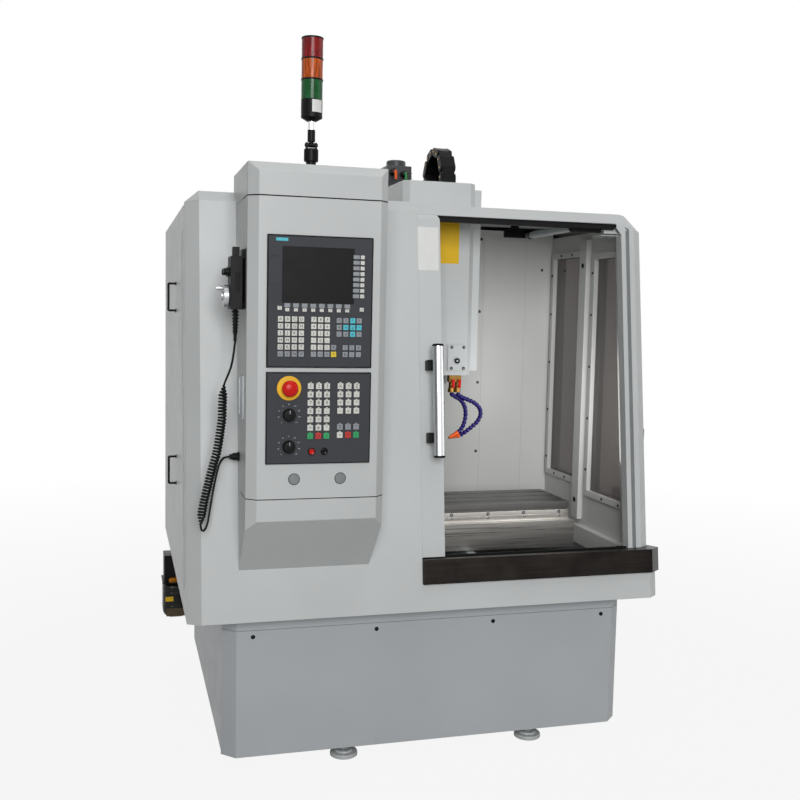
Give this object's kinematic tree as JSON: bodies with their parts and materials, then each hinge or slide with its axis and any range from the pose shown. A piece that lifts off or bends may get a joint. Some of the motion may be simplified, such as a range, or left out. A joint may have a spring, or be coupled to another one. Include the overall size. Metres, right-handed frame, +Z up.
{
  "type": "cnc machining center",
  "caption": "Small enclosed vertical machining center: sheet-metal cabin with sliding door, T-slot table on cross slides, spindle head, pendant console, signal light and hand pendant.",
  "frame": {"origin": "centre of the footprint at the floor", "axes": "+Z up, -Y the operator side, +X to the operator's right"},
  "size_m": [1.682, 1.64, 2.277],
  "materials": {
    "cabinet_paint": "satin powder coat",
    "liner_paint": "satin powder coat",
    "dark_steel": "brushed, dark oxide",
    "black_steel": "satin black",
    "machine_paint": "satin machine enamel",
    "ground_steel": "ground",
    "stainless": "brushed",
    "bright_tube": "polished",
    "bright_steel": "polished",
    "brass": "turned",
    "red_plastic": "gloss",
    "black_plastic": "fine texture",
    "panel_foil": "fine texture",
    "screen": "gloss",
    "key_white": "matte",
    "key_accent": "matte",
    "hose_blue": "semi-matte",
    "orange_plastic": "gloss",
    "window": "clear, tinted",
    "lens_red": "translucent",
    "lens_amber": "translucent",
    "lens_green": "translucent",
    "cord": "matte",
    "oil_tank": "translucent"
  },
  "bodies": {
    "frame": {"base_frame": "cabinet_paint", "base_cover": "cabinet_paint", "case_fittings": "black_steel", "feet": "black_steel", "floor_pans": "dark_steel", "front_panel": "cabinet_paint", "sill_tray": "dark_steel", "door_frame": "cabinet_paint", "left_side": "cabinet_paint", "right_side": "liner_paint", "side_windows": "window", "roof": "cabinet_paint", "rear_side": "cabinet_paint", "back_liner": "liner_paint", "door_track": "black_steel", "lamp": "black_steel", "bed": "machine_paint", "column_unit": "machine_paint", "z_motor": "black_steel", "cable_chain": "black_plastic", "console": "cabinet_paint", "panels": "panel_foil", "panel_screen": "screen", "keys_plain": "key_white", "keys_bright": "key_accent", "console_fittings": "black_plastic", "light_bracket": "black_plastic", "pendant": "black_plastic", "pendant_cord": "cord", "oiler": "black_plastic", "oiler_tank": "oil_tank"},
    "door": {"door_leaf": "cabinet_paint", "door_glass": "window", "pull_tube": "bright_tube"},
    "cabinet": {"cabinet_door": "cabinet_paint"},
    "saddle": {"saddle_unit": "machine_paint"},
    "table": {"table": "ground_steel", "way_guard": "stainless"},
    "head": {"head_shell": "cabinet_paint", "head_body": "machine_paint", "coolant_block": "brass", "coolant_hoses": "hose_blue", "coolant_nozzles": "orange_plastic"},
    "spindle": {"spindle_nose": "bright_steel"},
    "valve_a": {"valve_left": "red_plastic"},
    "valve_b": {"valve_right": "red_plastic"},
    "stop": {"stop_button": "red_plastic"},
    "feed": {"feed_knob": "black_plastic"},
    "speed": {"speed_knob": "black_plastic"},
    "start": {"start_button": "red_plastic"},
    "reset": {"reset_button": "black_plastic"},
    "light": {"light_stem": "black_plastic", "lens_red": "lens_red", "lens_amber": "lens_amber", "lens_green": "lens_green"},
    "axis_select": {"axis_knob": "black_plastic"},
    "step_select": {"step_knob": "black_plastic"},
    "wheel": {"handwheel": "bright_steel"},
    "crank": {"crank_knob": "black_plastic"}
  },
  "joints": [
    {"name": "door_slide", "type": "slide", "parent": "frame", "child": "door", "axis": [1, 0, 0], "range_m": [0, 0.688]},
    {"name": "cabinet_hinge", "type": "hinge", "parent": "frame", "child": "cabinet", "pos_m": [-0.41, 0.815, 1.14], "axis": [0, 0, 1], "range_deg": [0, 110]},
    {"name": "saddle_slide", "type": "slide", "parent": "frame", "child": "saddle", "axis": [0, 1, 0], "range_m": [-0.067, 0.193]},
    {"name": "table_slide", "type": "slide", "parent": "saddle", "child": "table", "axis": [1, 0, 0], "range_m": [-0.319, 0.101]},
    {"name": "head_slide", "type": "slide", "parent": "frame", "child": "head", "axis": [0, 0, 1], "range_m": [-0.2, 0], "deforming": ["cable_chain"]},
    {"name": "spindle_turn", "type": "hinge", "parent": "head", "child": "spindle", "pos_m": [0.098, -0.09, 1.185], "axis": [0, 0, 1], "continuous": true},
    {"name": "valve_a_turn", "type": "hinge", "parent": "head", "child": "valve_a", "pos_m": [0.164, -0.205, 1.21], "axis": [0, 1, 0], "range_deg": [-90, 0]},
    {"name": "valve_b_turn", "type": "hinge", "parent": "head", "child": "valve_b", "pos_m": [0.188, -0.205, 1.21], "axis": [0, 1, 0], "range_deg": [0, 90]},
    {"name": "stop_press", "type": "slide", "parent": "frame", "child": "stop", "axis": [0, 1, 0], "range_m": [0, 0.005], "stiffness_N_per_m": 800},
    {"name": "feed_turn", "type": "hinge", "parent": "frame", "child": "feed", "pos_m": [-0.531, -0.79, 1.17], "axis": [0, 1, 0], "range_deg": [-140, 140]},
    {"name": "speed_turn", "type": "hinge", "parent": "frame", "child": "speed", "pos_m": [-0.531, -0.79, 1.077], "axis": [0, 1, 0], "range_deg": [-140, 140]},
    {"name": "start_press", "type": "slide", "parent": "frame", "child": "start", "axis": [0, 1, 0], "range_m": [0, 0.003], "stiffness_N_per_m": 400},
    {"name": "reset_press", "type": "slide", "parent": "frame", "child": "reset", "axis": [0, 1, 0], "range_m": [0, 0.003], "stiffness_N_per_m": 400},
    {"name": "light_fold", "type": "hinge", "parent": "frame", "child": "light", "pos_m": [-0.451, -0.65, 1.965], "axis": [-1, 0, 0], "range_deg": [0, 75]},
    {"name": "axis_turn", "type": "hinge", "parent": "frame", "child": "axis_select", "pos_m": [-0.7, -0.7, 1.581], "axis": [1, 0, 0], "range_deg": [-75, 75]},
    {"name": "step_turn", "type": "hinge", "parent": "frame", "child": "step_select", "pos_m": [-0.7, -0.66, 1.581], "axis": [1, 0, 0], "range_deg": [-60, 60]},
    {"name": "wheel_turn", "type": "hinge", "parent": "frame", "child": "wheel", "pos_m": [-0.7, -0.68, 1.511], "axis": [1, 0, 0], "continuous": true},
    {"name": "crank_turn", "type": "hinge", "parent": "wheel", "child": "crank", "pos_m": [-0.72, -0.68, 1.533], "axis": [1, 0, 0], "continuous": true}
  ]
}
